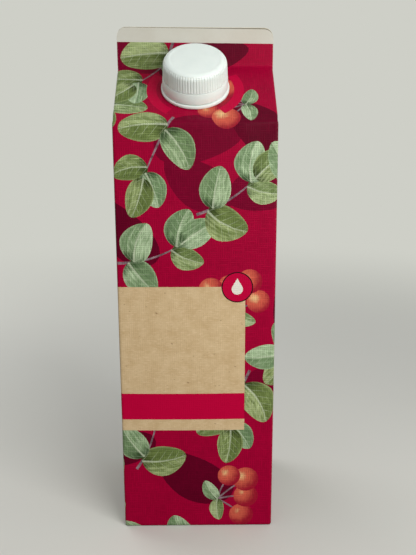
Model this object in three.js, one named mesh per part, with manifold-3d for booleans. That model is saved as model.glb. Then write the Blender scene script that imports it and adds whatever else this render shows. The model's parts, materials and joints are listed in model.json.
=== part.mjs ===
// A gable-top soap refill carton with a screw closure on its front roof panel.
// Millimetres, +Z up. The origin is the centre of the base, and the front faces -Y.

import * as THREE from 'three';
import { ConvexGeometry } from 'three/addons/geometries/ConvexGeometry.js';
import { mergeVertices } from 'three/addons/utils/BufferGeometryUtils.js';
import Module from 'manifold-3d';

const wasm = await Module();
wasm.setup();

// Carton
const BASE_WIDTH = 70; // along X
const BASE_DEPTH = 70; // along Y, front to back
const BODY_HEIGHT = 191; // floor to the shoulder creases
const GABLE_RISE = 22; // shoulder creases to the foot of the fin
const FIN_HEIGHT = 16.5; // sealed fin above the roof
const FIN_PLIES = 4;
const FIN_CORNER_RADIUS = 4;
const BOARD = 0.55; // one thickness of paperboard
const FOLD_RADIUS = 1.2; // the four upright edges
const BASE_EDGE_RADIUS = 0.8; // fold round the bottom
const BASE_RIM = 3; // width of the edge that the carton stands on
const FLAP_RECESS = 0.8; // closing flap above the rim
const CLOSING_FLAP = 49; // reach of the closing flap from the front edge

// Closure: radii about the spout's axis, heights out from the roof panel
const SPOUT_ABOVE_MIDDLE = 2.8; // up the slope from the middle of the roof panel
const BORE_RADIUS = 9.6;
const NECK_WALL = 1.8;
const THREAD_DEPTH = 0.7; // room for the thread between the neck and the cap
const FLANGE_WIDTH = 2.6; // welded ring under the roof panel
const FLANGE_THICKNESS = 0.6;
const COLLAR_LEDGE = 0.5; // collar beyond the tamper band
const COLLAR_THICKNESS = 1.2;
const COLLAR_CHAMFER = 0.3;
const BEAD_DEPTH = 1.1; // ring on the neck that holds the tamper band down
const BEAD_HEIGHT = 1.0;
const BAND_WALL = 1.6;
const BAND_HEIGHT = 5.2;
const BAND_LIP_HEIGHT = 3.2; // thicker foot of the band, trapped under the bead
const BAND_LIP_PLAY = 0.7; // lip to neck
const CAP_WALL = 1.3;
const CAP_HEIGHT = 8.2;
const CAP_TOP = 1.6; // thickness of the cap's disc
const CAP_EDGE_RADIUS = 2.4;
const RIB_COUNT = 72;
const RIB_DEPTH = 0.35;
const RIB_TIP_SHARE = 0.42; // of one rib's pitch
const RIB_ROOT_SHARE = 0.22;
const GROOVE_RADIUS = 10.8; // ring pressed into the cap's top
const GROOVE_DEPTH = 0.2;
const THROAT_DEPTH = 9; // open space below the roof, down to the filling level
const GAP = 0.3; // between neighbouring pieces

// Fineness
const TURN_STEPS = 48;
const ROUND_STEPS = 4;
const OVERSHOOT = 2; // how far a cutter runs past what it cuts
const MERGE_DISTANCE = 1e-5;

// Carton sizes that follow
const halfWidth = BASE_WIDTH / 2;
const halfDepth = BASE_DEPTH / 2;
const halfFin = (FIN_PLIES * BOARD) / 2;
const finFoot = BODY_HEIGHT + GABLE_RISE;
const finTop = finFoot + FIN_HEIGHT;
const roofRun = halfDepth - halfFin;
const roofSlope = Math.atan2(GABLE_RISE, roofRun);
const roofLength = Math.hypot(GABLE_RISE, roofRun);
const flangePocket = FLANGE_THICKNESS + 2 * GAP;
const wingStack = 2 * BOARD + flangePocket; // roof panel, spout flange and folded wing
const spoutUpRoof = roofLength / 2 + SPOUT_ABOVE_MIDDLE;

// Closure sizes that follow
const neckRadius = BORE_RADIUS + NECK_WALL;
const flangeRadius = neckRadius + FLANGE_WIDTH;
const flangeTop = -BOARD - GAP;
const flangeFoot = flangeTop - FLANGE_THICKNESS;
const beadRadius = neckRadius + BEAD_DEPTH;
const bandBore = beadRadius + GAP;
const bandRadius = bandBore + BAND_WALL;
const collarRadius = bandRadius + COLLAR_LEDGE;
const collarTop = GAP + COLLAR_THICKNESS;
const bandFoot = collarTop + GAP;
const bandTop = bandFoot + BAND_HEIGHT;
const lipRadius = neckRadius + BAND_LIP_PLAY;
const lipTop = bandFoot + BAND_LIP_HEIGHT;
const beadFoot = lipTop + GAP;
const capBore = neckRadius + THREAD_DEPTH + GAP;
const ribRootRadius = capBore + CAP_WALL;
const capRadius = ribRootRadius + RIB_DEPTH;
const capFoot = bandTop + GAP;
const capTop = capFoot + CAP_HEIGHT;
const capCeiling = capTop - CAP_TOP;
const neckTop = capCeiling - GAP;

const printedBoard = new THREE.MeshStandardMaterial({ color: 0x960a2e, roughness: 0.5, metalness: 0 });
const whitePlastic = new THREE.MeshStandardMaterial({ color: 0xe6e9e6, roughness: 0.4, metalness: 0 });

// A closed geometry as a solid that can be joined and cut
function solidOf(geometry) {
  geometry.deleteAttribute('normal');
  geometry.deleteAttribute('uv');
  const merged = mergeVertices(geometry, MERGE_DISTANCE);
  const corners = merged.index.array;
  const triangles = [];
  for (let i = 0; i < corners.length; i += 3) {
    const triangle = [corners[i], corners[i + 1], corners[i + 2]];
    if (new Set(triangle).size === 3) triangles.push(...triangle);
  }
  return new wasm.Manifold(new wasm.Mesh({
    numProp: 3,
    vertProperties: new Float32Array(merged.attributes.position.array),
    triVerts: new Uint32Array(triangles),
  }));
}

function piece(name, solid, material) {
  const { vertProperties, triVerts } = solid.getMesh();
  const geometry = new THREE.BufferGeometry();
  geometry.setAttribute('position', new THREE.BufferAttribute(vertProperties, 3));
  geometry.setIndex(new THREE.BufferAttribute(triVerts, 1));
  geometry.computeVertexNormals();
  const mesh = new THREE.Mesh(geometry, material);
  mesh.name = name;
  return mesh;
}

function shapeOf(points) {
  return new THREE.Shape(points.map(([u, v]) => new THREE.Vector2(u, v)));
}

// A profile of [radius, height] pairs turned about Z, walked out along its foot and up its outside
function turned(profile, steps = TURN_STEPS) {
  const points = profile.map(([radius, height]) => new THREE.Vector2(radius, height));
  return new THREE.LatheGeometry(points, steps).rotateX(Math.PI / 2);
}

// A turned ring, whose profile closes on itself
function turnedRing(profile) {
  return turned([...profile, profile[0]]);
}

function roundedRectangle(width, depth, radius) {
  const shape = new THREE.Shape();
  const x = width / 2 - radius;
  const y = depth / 2 - radius;
  shape.absarc(x, y, radius, 0, Math.PI / 2);
  shape.absarc(-x, y, radius, Math.PI / 2, Math.PI);
  shape.absarc(-x, -y, radius, Math.PI, 1.5 * Math.PI);
  shape.absarc(x, -y, radius, 1.5 * Math.PI, 2 * Math.PI);
  return shape;
}

// Square column with rounded upright edges and a rounded bottom, taller than the carton
function columnSolid() {
  const geometry = new THREE.ExtrudeGeometry(roundedRectangle(BASE_WIDTH, BASE_DEPTH, FOLD_RADIUS), {
    depth: finTop + OVERSHOOT,
    curveSegments: ROUND_STEPS,
    bevelThickness: BASE_EDGE_RADIUS,
    bevelSize: BASE_EDGE_RADIUS,
    bevelOffset: -BASE_EDGE_RADIUS,
    bevelSegments: 2,
  });
  return solidOf(geometry.translate(0, 0, BASE_EDGE_RADIUS));
}

// Roof and fin seen from the end, run across the whole width
function gableSolid() {
  const reach = halfDepth + OVERSHOOT;
  const eaves = BODY_HEIGHT - OVERSHOOT * Math.tan(roofSlope);
  const outline = shapeOf([
    [-reach, -OVERSHOOT],
    [reach, -OVERSHOOT],
    [reach, eaves],
    [halfFin, finFoot],
    [halfFin, finTop],
    [-halfFin, finTop],
    [-halfFin, finFoot],
    [-reach, eaves],
  ]);
  const length = BASE_WIDTH + 2 * OVERSHOOT;
  const geometry = new THREE.ExtrudeGeometry(outline, { depth: length, bevelEnabled: false });
  geometry.translate(0, 0, -length / 2);
  const alongX = new THREE.Matrix4().makeBasis(
    new THREE.Vector3(0, 1, 0),
    new THREE.Vector3(0, 0, 1),
    new THREE.Vector3(1, 0, 0),
  );
  return solidOf(geometry.applyMatrix4(alongX));
}

// Front outline with the fin's two rounded corners, run from front to back
function finCornerSolid() {
  const reach = halfWidth + OVERSHOOT;
  const cornerX = halfWidth - FIN_CORNER_RADIUS;
  const cornerZ = finTop - FIN_CORNER_RADIUS;
  const outline = new THREE.Shape();
  outline.moveTo(-reach, -OVERSHOOT);
  outline.lineTo(reach, -OVERSHOOT);
  outline.lineTo(reach, cornerZ);
  outline.absarc(cornerX, cornerZ, FIN_CORNER_RADIUS, 0, Math.PI / 2);
  outline.absarc(-cornerX, cornerZ, FIN_CORNER_RADIUS, Math.PI / 2, Math.PI);
  outline.lineTo(-reach, cornerZ);
  const depth = BASE_DEPTH + 2 * OVERSHOOT;
  const geometry = new THREE.ExtrudeGeometry(outline, {
    depth,
    curveSegments: 2 * ROUND_STEPS,
    bevelEnabled: false,
  });
  return solidOf(geometry.translate(0, 0, -depth / 2).rotateX(Math.PI / 2));
}

// Hollow at one end of the gable, above the folded-in side triangle and under the two wings
function gableHollow(side) {
  const ridgeDrop = wingStack / Math.cos(roofSlope);
  const ridge = BODY_HEIGHT + halfDepth * Math.tan(roofSlope) - ridgeDrop;
  const floorSlope = GABLE_RISE / halfWidth;
  const outerX = halfWidth + OVERSHOOT;
  const outerFloor = BODY_HEIGHT - OVERSHOOT * floorSlope;
  const outerHalfDepth = (ridge - outerFloor) / Math.tan(roofSlope);
  const innerX = halfWidth - (ridge - BODY_HEIGHT) / floorSlope;
  return solidOf(new ConvexGeometry([
    new THREE.Vector3(side * innerX, 0, ridge),
    new THREE.Vector3(side * outerX, 0, ridge),
    new THREE.Vector3(side * outerX, -outerHalfDepth, outerFloor),
    new THREE.Vector3(side * outerX, outerHalfDepth, outerFloor),
  ]));
}

// Hole in the roof panel, pocket round the welded flange, and the open throat under it
function spoutPocket(seat) {
  const holeRadius = neckRadius + GAP;
  const pocketRadius = flangeRadius + GAP;
  const pocketFoot = -BOARD - flangePocket;
  const geometry = turned([
    [0, -THROAT_DEPTH],
    [BORE_RADIUS, -THROAT_DEPTH],
    [BORE_RADIUS, pocketFoot],
    [pocketRadius, pocketFoot],
    [pocketRadius, -BOARD],
    [holeRadius, -BOARD],
    [holeRadius, OVERSHOOT],
    [0, OVERSHOOT],
  ]);
  return solidOf(geometry.applyMatrix4(seat));
}

// Folded bottom flaps, set up inside the rim, the inner ones one board higher
function baseRecess() {
  const width = BASE_WIDTH - 2 * BASE_RIM;
  const depth = BASE_DEPTH - 2 * BASE_RIM;
  const innerDepth = BASE_DEPTH - CLOSING_FLAP - BASE_RIM;
  const innerHeight = FLAP_RECESS + BOARD + OVERSHOOT;
  const outer = new THREE.BoxGeometry(width, depth, FLAP_RECESS + OVERSHOOT);
  const inner = new THREE.BoxGeometry(width, innerDepth, innerHeight);
  outer.translate(0, 0, (FLAP_RECESS - OVERSHOOT) / 2);
  inner.translate(0, (depth - innerDepth) / 2, innerHeight / 2 - OVERSHOOT);
  return solidOf(outer).add(solidOf(inner));
}

function makeCarton(seat) {
  const solid = columnSolid()
    .intersect(gableSolid())
    .intersect(finCornerSolid())
    .subtract(gableHollow(-1))
    .subtract(gableHollow(1))
    .subtract(spoutPocket(seat))
    .subtract(baseRecess());
  return piece('carton', solid, printedBoard);
}

function makeSpout() {
  const geometry = turnedRing([
    [BORE_RADIUS, flangeFoot],
    [flangeRadius, flangeFoot],
    [flangeRadius, flangeTop],
    [neckRadius, flangeTop],
    [neckRadius, GAP],
    [collarRadius, GAP],
    [collarRadius, collarTop - COLLAR_CHAMFER],
    [collarRadius - COLLAR_CHAMFER, collarTop],
    [neckRadius, collarTop],
    [neckRadius, beadFoot],
    [beadRadius, beadFoot],
    [neckRadius, beadFoot + BEAD_HEIGHT],
    [neckRadius, neckTop],
    [BORE_RADIUS, neckTop],
  ]);
  return piece('spout', solidOf(geometry), whitePlastic);
}

function makeTamperBand() {
  const geometry = turnedRing([
    [lipRadius, bandFoot],
    [bandRadius, bandFoot],
    [bandRadius, bandTop],
    [bandBore, bandTop],
    [bandBore, lipTop],
    [lipRadius, lipTop],
  ]);
  return piece('tamper_band', solidOf(geometry), whitePlastic);
}

// Toothed outline of the cap's gripping ribs
function ribOutline() {
  const pitch = (2 * Math.PI) / RIB_COUNT;
  const points = [];
  for (let i = 0; i < RIB_COUNT; i += 1) {
    const corners = [
      [capRadius, -RIB_TIP_SHARE / 2],
      [capRadius, RIB_TIP_SHARE / 2],
      [ribRootRadius, 0.5 - RIB_ROOT_SHARE / 2],
      [ribRootRadius, 0.5 + RIB_ROOT_SHARE / 2],
    ];
    for (const [radius, share] of corners) {
      const angle = (i + share) * pitch;
      points.push([radius * Math.cos(angle), radius * Math.sin(angle)]);
    }
  }
  return shapeOf(points);
}

// Outer form of the cap with its rounded top edge, a little outside the ribs
function capEnvelope() {
  const radius = capRadius + GAP;
  const edgeRadius = CAP_EDGE_RADIUS + GAP;
  const profile = [
    [0, capFoot - OVERSHOOT],
    [radius, capFoot - OVERSHOOT],
  ];
  for (let i = 0; i <= ROUND_STEPS; i += 1) {
    const angle = (i / ROUND_STEPS) * (Math.PI / 2);
    const inset = edgeRadius * (1 - Math.cos(angle));
    profile.push([radius - inset, capTop - edgeRadius * (1 - Math.sin(angle))]);
  }
  profile.push(
    [GROOVE_RADIUS + GROOVE_DEPTH, capTop],
    [GROOVE_RADIUS, capTop - GROOVE_DEPTH],
    [GROOVE_RADIUS - GROOVE_DEPTH, capTop],
    [0, capTop],
  );
  return solidOf(turned(profile, RIB_COUNT));
}

function makeScrewCap() {
  const ribbed = new THREE.ExtrudeGeometry(ribOutline(), {
    depth: CAP_HEIGHT + OVERSHOOT,
    bevelEnabled: false,
  });
  const bore = turned([
    [0, capFoot - OVERSHOOT],
    [capBore, capFoot - OVERSHOOT],
    [capBore, capCeiling],
    [0, capCeiling],
  ]);
  const solid = solidOf(ribbed.translate(0, 0, capFoot))
    .intersect(capEnvelope())
    .subtract(solidOf(bore));
  return piece('screw_cap', solid, whitePlastic);
}

// Everything about the spout's axis stands square on the front roof panel
const closure = new THREE.Group();
closure.position.set(
  0,
  -halfDepth + spoutUpRoof * Math.cos(roofSlope),
  BODY_HEIGHT + spoutUpRoof * Math.sin(roofSlope),
);
closure.rotation.x = roofSlope;
closure.updateMatrix();
closure.add(makeSpout(), makeTamperBand(), makeScrewCap());

const refillPack = new THREE.Group();
refillPack.add(makeCarton(closure.matrix), closure);

export default refillPack;
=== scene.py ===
"""Looks of a gable-top soap refill carton with a screw cap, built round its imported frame.

The carton is drawn as its flat blank, in millimetres, with the print laid out on it. The blank is
then folded, so the print runs on over the creases as it does on the real board. The closure's
pieces are modelled about an upright axis and then set on the sloping roof panel.
"""

import json
import logging
import math
from collections.abc import Callable, Iterable, Sequence
from dataclasses import dataclass, field, replace
from enum import Enum

import bpy
import numpy as np
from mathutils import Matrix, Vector
from mathutils.geometry import delaunay_2d_cdt


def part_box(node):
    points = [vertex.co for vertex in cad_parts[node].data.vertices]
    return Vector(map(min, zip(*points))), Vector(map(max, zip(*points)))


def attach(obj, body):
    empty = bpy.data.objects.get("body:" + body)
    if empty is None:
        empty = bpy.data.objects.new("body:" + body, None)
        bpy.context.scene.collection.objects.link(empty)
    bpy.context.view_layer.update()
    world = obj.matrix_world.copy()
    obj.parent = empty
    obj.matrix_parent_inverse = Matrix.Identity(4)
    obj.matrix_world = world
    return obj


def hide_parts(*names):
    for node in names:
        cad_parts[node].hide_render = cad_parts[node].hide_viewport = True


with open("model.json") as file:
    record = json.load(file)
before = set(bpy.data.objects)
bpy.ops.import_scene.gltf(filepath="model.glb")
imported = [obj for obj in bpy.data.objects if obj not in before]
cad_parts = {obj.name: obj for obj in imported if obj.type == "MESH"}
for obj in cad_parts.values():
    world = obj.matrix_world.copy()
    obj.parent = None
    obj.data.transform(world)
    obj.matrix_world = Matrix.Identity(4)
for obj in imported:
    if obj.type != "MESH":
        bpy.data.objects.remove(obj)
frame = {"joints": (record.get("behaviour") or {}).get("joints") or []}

LOG = logging.getLogger("refill_carton")
MM = 0.001
IMAGE_HEIGHT = 555
Point = tuple[float, float]
Colour = tuple[float, float, float, float]
Socket = bpy.types.NodeSocket


def srgb(red: int, green: int, blue: int) -> Colour:
    """Turn a screen colour into the linear colour that nodes take.

    Args:
        red: Red, from 0 to 255.
        green: Green, from 0 to 255.
        blue: Blue, from 0 to 255.

    Returns:
        The linear colour, opaque.
    """
    linear = [
        c / 12.92 if c <= 0.04045 else ((c + 0.055) / 1.055) ** 2.4
        for c in (red / 255, green / 255, blue / 255)
    ]
    return (*linear, 1.0)


class Ink(Enum):
    """What a face of the carton shows, in the order of the skin's material slots."""

    GROUND = 0
    DUSK = 1
    PLUM = 2
    LEAF = 3
    STEM = 4
    BERRY = 5
    KRAFT = 6
    RED = 7
    DARK = 8
    PALE = 9
    BARE = 10
    EDGE = 11
    # Painted shade: the dark faces in the gap between the fin's plies.
    SEAM = 12


class Shader:
    """A material's node tree, put together one node at a time."""

    def __init__(self, name: str) -> None:
        """Start a material with its plain surface shader."""
        self.material = bpy.data.materials.new(name)
        self.material.use_nodes = True
        self.tree = self.material.node_tree
        self.surface = self.tree.nodes["Principled BSDF"]

    def node(self, kind: str, **settings: object) -> bpy.types.Node:
        """Add a node of a kind and set its options."""
        made = self.tree.nodes.new(f"ShaderNode{kind}")
        for name, value in settings.items():
            setattr(made, name, value)
        return made

    def feed(self, socket: Socket, value: Socket | float | Sequence[float]) -> None:
        """Link a socket to another node's output, or set it to a value."""
        if isinstance(value, bpy.types.NodeSocket):
            self.tree.links.new(value, socket)
        else:
            socket.default_value = value

    def set(self, **values: Socket | float | Sequence[float]) -> None:
        """Feed the surface shader's inputs, named with underscores for spaces."""
        for name, value in values.items():
            self.feed(self.surface.inputs[name.replace("_", " ")], value)

    def wire(
        self, kind: str, feeds: dict[str | int, Socket | float | Sequence[float]],
        output: str | int = 0, **settings: object,
    ) -> Socket:
        """Add a node and feed it.

        Args:
            kind: The node's kind.
            feeds: What its inputs get, by name or number.
            output: The output that is wanted.
            settings: The node's options.

        Returns:
            The output's socket.
        """
        made = self.node(kind, **settings)
        for name, value in feeds.items():
            self.feed(made.inputs[name], value)
        return made.outputs[output]

    def math(self, operation: str, *values: Socket | float) -> Socket:
        """Work out one number from others with one of the Math node's operations."""
        return self.wire("Math", dict(enumerate(values)), operation=operation)

    def times(self, first: Socket | float, second: Socket | float) -> Socket:
        """Multiply two numbers."""
        return self.math("MULTIPLY", first, second)

    def line(self, value: Socket | float, gain: float, offset: Socket | float) -> Socket:
        """Multiply a number by a gain and add an offset."""
        return self.math("MULTIPLY_ADD", value, gain, offset)

    def mix(self, share: Socket | float, first: Socket | Colour, second: Socket | Colour) -> Socket:
        """Mix two colours, the second by the given share."""
        return self.wire("Mix", {0: share, 6: first, 7: second}, 2, data_type="RGBA")

    def scaled(self, colour: Socket | Colour, factor: Socket | float) -> Socket:
        """Make a colour lighter or darker by a factor."""
        plain = colour[:3] if isinstance(colour, tuple) else colour
        return self.wire("VectorMath", {0: plain, "Scale": factor}, operation="SCALE")

    def smooth(self, value: Socket, low: float, high: float) -> Socket:
        """Step softly from 0 at low to 1 at high."""
        feeds = {"Value": value, "From Min": low, "From Max": high}
        return self.wire("MapRange", feeds, interpolation_type="SMOOTHSTEP")

    def noise(self, vector: Socket, scale: float, detail: float = 3.0, roughness: float = 0.5) -> Socket:
        """Soft random values over a surface."""
        feeds = {"Vector": vector, "Scale": scale, "Detail": detail, "Roughness": roughness}
        return self.wire("TexNoise", feeds, "Fac")

    def stretched(self, vector: Socket, scale: Sequence[float]) -> Socket:
        """Scale a position by a factor along each axis."""
        return self.wire("VectorMath", {0: vector, 1: tuple(scale)}, operation="MULTIPLY")

    def joined(self, x: Socket | float, y: Socket | float, z: Socket | float) -> Socket:
        """Put three numbers together as a position."""
        return self.wire("CombineXYZ", {0: x, 1: y, 2: z})

    def uv(self, name: str) -> Socket:
        """Position on one of the piece's own flat maps."""
        return self.node("UVMap", uv_map=name).outputs[0]

    def place(self) -> Socket:
        """Position in the piece's own space, in metres."""
        return self.node("TexCoord").outputs["Object"]

    def axes(self, vector: Socket) -> tuple[Socket, Socket, Socket]:
        """Split a position into its three numbers."""
        made = self.node("SeparateXYZ")
        self.feed(made.inputs[0], vector)
        return made.outputs[0], made.outputs[1], made.outputs[2]

    def attribute(self, name: str) -> Socket:
        """A number that the mesh carries on each face."""
        return self.node("Attribute", attribute_name=name).outputs["Fac"]

    def bump(self, height: Socket, distance: float) -> None:
        """Raise the surface by a height pattern."""
        self.set(Normal=self.wire("Bump", {"Height": height, "Distance": distance, "Strength": 1.0}))


@dataclass(frozen=True)
class LinenEmboss:
    """Fine woven pattern that is pressed into the printed board."""

    pitch: float = 0.95 * MM
    streak: float = 6 * MM
    wander: float = 0.4
    height: float = 0.05 * MM
    panel: float = 70 * MM
    fold_wear: float = 0.5 * MM
    wear_share: float = 0.22
    gap_shade: float = 0.45
    worn: Colour = srgb(226, 190, 184)

    def threads(self, shader: Shader, across: Socket, along: Socket, seed: float) -> Socket:
        """One set of parallel threads, each of uneven strength.

        Args:
            shader: The material being made.
            across: Position across the threads, in metres.
            along: Position along the threads, in metres.
            seed: Sets this set's random strengths apart from the other's.

        Returns:
            The threads' height, from 0 to 1.
        """
        turn = shader.times(across, 1 / self.pitch)
        cell = shader.joined(turn, shader.times(along, 1 / self.streak), seed)
        uneven = shader.noise(cell, 1.0, 1.0)
        wave = shader.math("SINE", shader.times(shader.line(uneven, self.wander, turn), 2 * math.pi))
        level = shader.line(wave, 0.5, 0.5)
        return shader.times(level, shader.smooth(uneven, 0.2, 0.75))

    def press(self, shader: Shader, colour: Socket | Colour, shading: float) -> None:
        """Emboss a print, shade it along the threads and wear it at the folds.

        Args:
            shader: The material being made.
            colour: The print's colour.
            shading: How much lighter the threads are than the gaps between them, as painted light on the
                threads and painted shade in the gaps.
        """
        blank = shader.uv("blank")
        s, t, _ = shader.axes(blank)
        weave = shader.math("MAXIMUM", self.threads(shader, s, t, 1.0), self.threads(shader, t, s, 5.0))
        shader.bump(weave, self.height)
        # Painted light on the raised threads and painted shade in the gaps between them, on top of the bump.
        shaded = shader.scaled(colour, shader.line(weave, shading, 1 - self.gap_shade * shading))
        turn = shader.math("FRACT", shader.line(s, 1 / self.panel, 0.5))
        fold = shader.times(shader.math("ABSOLUTE", shader.math("SUBTRACT", turn, 0.5)), self.panel)
        patch = shader.smooth(shader.noise(blank, 900.0, 4.0, 0.7), 0.4, 0.75)
        wear = shader.times(shader.smooth(fold, self.fold_wear, 0.0), patch)
        shader.set(Base_Color=shader.mix(shader.times(wear, self.wear_share), shaded, self.worn))


@dataclass(frozen=True)
class BoardFinish:
    """Flat print on coated board, with faint washes of a second tone."""

    name: str
    colour: Colour
    wash: Colour
    shading: float = 0.34
    wash_scale: float = 60.0
    wash_share: float = 0.5
    roughness: float = 0.45
    gloss: float = 0.06
    emboss: LinenEmboss = LinenEmboss()

    def wash_over(self, shader: Shader) -> Socket:
        """Let the second tone come and go over the first."""
        patch = shader.noise(shader.uv("blank"), self.wash_scale, 4.0, 0.6)
        share = shader.times(shader.smooth(patch, 0.3, 0.75), self.wash_share)
        return shader.mix(share, self.colour, self.wash)

    def make(self) -> bpy.types.Material:
        """Build the material."""
        shader = Shader(self.name)
        self.emboss.press(shader, self.wash_over(shader), self.shading)
        shader.set(Roughness=self.roughness, Specular_IOR_Level=self.gloss)
        return shader.material


@dataclass(frozen=True)
class KraftFinish(BoardFinish):
    """Printed kraft-paper field with flecks and fibres."""

    fleck: Colour = srgb(120, 88, 52)
    fibre: Colour = srgb(222, 198, 160)

    def wash_over(self, shader: Shader) -> Socket:
        """Add dark flecks and pale fibres to the washes."""
        colour = super().wash_over(shader)
        blank = shader.uv("blank")
        fine = shader.smooth(shader.noise(blank, 1300.0, 2.0, 0.6), 0.6, 0.75)
        fleck = shader.smooth(shader.noise(shader.stretched(blank, (420.0, 640.0, 1.0)), 1.0, 1.0), 0.7, 0.8)
        grain = shader.noise(shader.stretched(blank, (400.0, 1500.0, 1.0)), 1.0, 2.0)
        fibre = shader.smooth(grain, 0.5, 0.72)
        colour = shader.mix(shader.times(fibre, 0.4), colour, self.fibre)
        specks = shader.math("MAXIMUM", shader.times(fine, 0.3), shader.times(fleck, 0.7))
        return shader.mix(specks, colour, self.fleck)


@dataclass(frozen=True)
class LeafForm:
    """Outline of a leaf, along its midrib from 0 to 1."""

    roundness: float = 1.75
    skew: float = 0.82

    def half_width(self, along: np.ndarray) -> np.ndarray:
        """Half the leaf's width, as a share of its widest."""
        centred = np.abs(2 * along**self.skew - 1)
        return np.clip(1 - centred**self.roundness, 0, None) ** (1 / self.roundness)

    def rim(self, shader: Shader, along: Socket, across: Socket) -> Socket:
        """How near a point is to the leaf's outline, from 0 on the midrib to 1."""
        bent = shader.math("POWER", shader.math("MAXIMUM", along, 0.001), self.skew)
        centred = shader.math("ABSOLUTE", shader.line(bent, 2.0, -1.0))
        left = shader.math("SUBTRACT", 1.0, shader.math("POWER", centred, self.roundness))
        width = shader.math("POWER", shader.math("MAXIMUM", left, 0.001), 1 / self.roundness)
        return shader.math("DIVIDE", across, shader.math("MAXIMUM", width, 0.05))


@dataclass(frozen=True)
class LeafGreens:
    """Brush colours of one kind of leaf."""

    light: Colour
    mid: Colour
    dark: Colour


@dataclass(frozen=True)
class LeafFinish:
    """Brushed leaf with a light and a dark half, side veins and a pale midrib."""

    name: str
    sage: LeafGreens
    olive: LeafGreens
    vein: Colour
    form: LeafForm = LeafForm()
    vein_count: float = 5.5
    vein_lean: float = 0.32
    shading: float = 0.6
    gloss: float = 0.1
    emboss: LinenEmboss = LinenEmboss()

    def make(self) -> bpy.types.Material:
        """Build the material."""
        shader = Shader(self.name)
        u, v, _ = shader.axes(shader.uv("motif"))
        tone = shader.attribute("tone")
        side = shader.math("ABSOLUTE", v)
        rim = self.form.rim(shader, u, side)
        climb = shader.line(side, -self.vein_lean, u)
        strokes_at = shader.joined(shader.times(u, 2.6), shader.times(v, 8.0), shader.times(tone, 37.0))
        strokes = shader.noise(strokes_at, 1.0, 4.0, 0.65)
        wash = shader.noise(shader.uv("blank"), 190.0, 3.0, 0.55)
        half = shader.smooth(v, -0.08, 0.1)
        depth = shader.line(half, 0.3, -0.16)
        depth = shader.line(strokes, 1.3, depth)
        depth = shader.line(wash, 0.6, depth)
        depth = shader.line(tone, 0.3, shader.math("SUBTRACT", depth, 0.68))
        kind = shader.smooth(shader.math("FRACT", shader.times(tone, 7.0)), 0.3, 0.7)
        light = shader.mix(kind, self.sage.light, self.olive.light)
        mid = shader.mix(kind, self.sage.mid, self.olive.mid)
        dark = shader.mix(kind, self.sage.dark, self.olive.dark)
        colour = shader.mix(shader.smooth(depth, 0.0, 0.55), light, mid)
        low = shader.smooth(shader.math("SUBTRACT", 0.34, u), 0.0, 0.34)
        shade = shader.line(low, 0.45, shader.times(depth, 0.5))
        colour = shader.mix(shader.smooth(shade, 0.18, 0.75), colour, dark)
        beat = shader.math("FRACT", shader.times(climb, self.vein_count))
        comb = shader.math("ABSOLUTE", shader.math("SUBTRACT", beat, 0.5))
        veins = shader.times(shader.smooth(comb, 0.43, 0.5), shader.smooth(rim, 1.0, 0.25))
        spine = shader.smooth(shader.line(u, 0.05, side), 0.1, 0.03)
        lines = shader.math("MAXIMUM", shader.times(veins, 0.4), shader.times(spine, 0.6))
        colour = shader.mix(lines, colour, self.vein)
        edge = shader.times(shader.smooth(rim, 0.84, 0.98), 0.45)
        self.emboss.press(shader, shader.mix(edge, colour, light), self.shading)
        shader.set(Roughness=0.45, Specular_IOR_Level=self.gloss)
        return shader.material


@dataclass(frozen=True)
class BerryFinish:
    """Ripe round berry: a pale cheek, brushed streaks and a deep rim."""

    name: str
    pale: Colour
    ripe: Colour
    deep: Colour
    cheek: Point = (-0.32, 0.3)
    shading: float = 0.45
    gloss: float = 0.1
    emboss: LinenEmboss = LinenEmboss()

    def make(self) -> bpy.types.Material:
        """Build the material."""
        shader = Shader(self.name)
        spot = shader.uv("motif")
        away = shader.wire("VectorMath", {0: spot, 1: (*self.cheek, 0.0)}, "Value", operation="DISTANCE")
        tone = shader.attribute("tone")
        streak = shader.noise(shader.stretched(spot, (9.0, 2.5, 1.0)), 1.0, 4.0, 0.6)
        wash = shader.noise(shader.uv("blank"), 260.0, 3.0, 0.6)
        depth = shader.line(streak, 0.5, away)
        depth = shader.line(wash, 0.5, depth)
        depth = shader.line(tone, 0.35, depth)
        colour = shader.mix(shader.smooth(depth, 0.55, 1.15), self.pale, self.ripe)
        colour = shader.mix(shader.smooth(depth, 1.15, 1.95), colour, self.deep)
        self.emboss.press(shader, colour, self.shading)
        shader.set(Roughness=0.45, Specular_IOR_Level=self.gloss)
        return shader.material


@dataclass(frozen=True)
class PaperFinish:
    """Unprinted or cut board: pale fibre with faint stains."""

    name: str
    colour: Colour
    stain: Colour
    grain: Sequence[float] = (900.0, 900.0, 900.0)
    roughness: float = 0.6

    def make(self) -> bpy.types.Material:
        """Build the material."""
        shader = Shader(self.name)
        place = shader.place()
        stain = shader.smooth(shader.noise(place, 55.0, 3.0, 0.6), 0.35, 0.75)
        fibre = shader.noise(shader.stretched(place, self.grain), 1.0, 3.0, 0.6)
        share = shader.line(fibre, 0.5, shader.line(stain, 0.6, -0.2))
        shader.set(Base_Color=shader.mix(share, self.colour, self.stain), Roughness=self.roughness)
        shader.bump(fibre, 0.02 * MM)
        return shader.material


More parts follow.
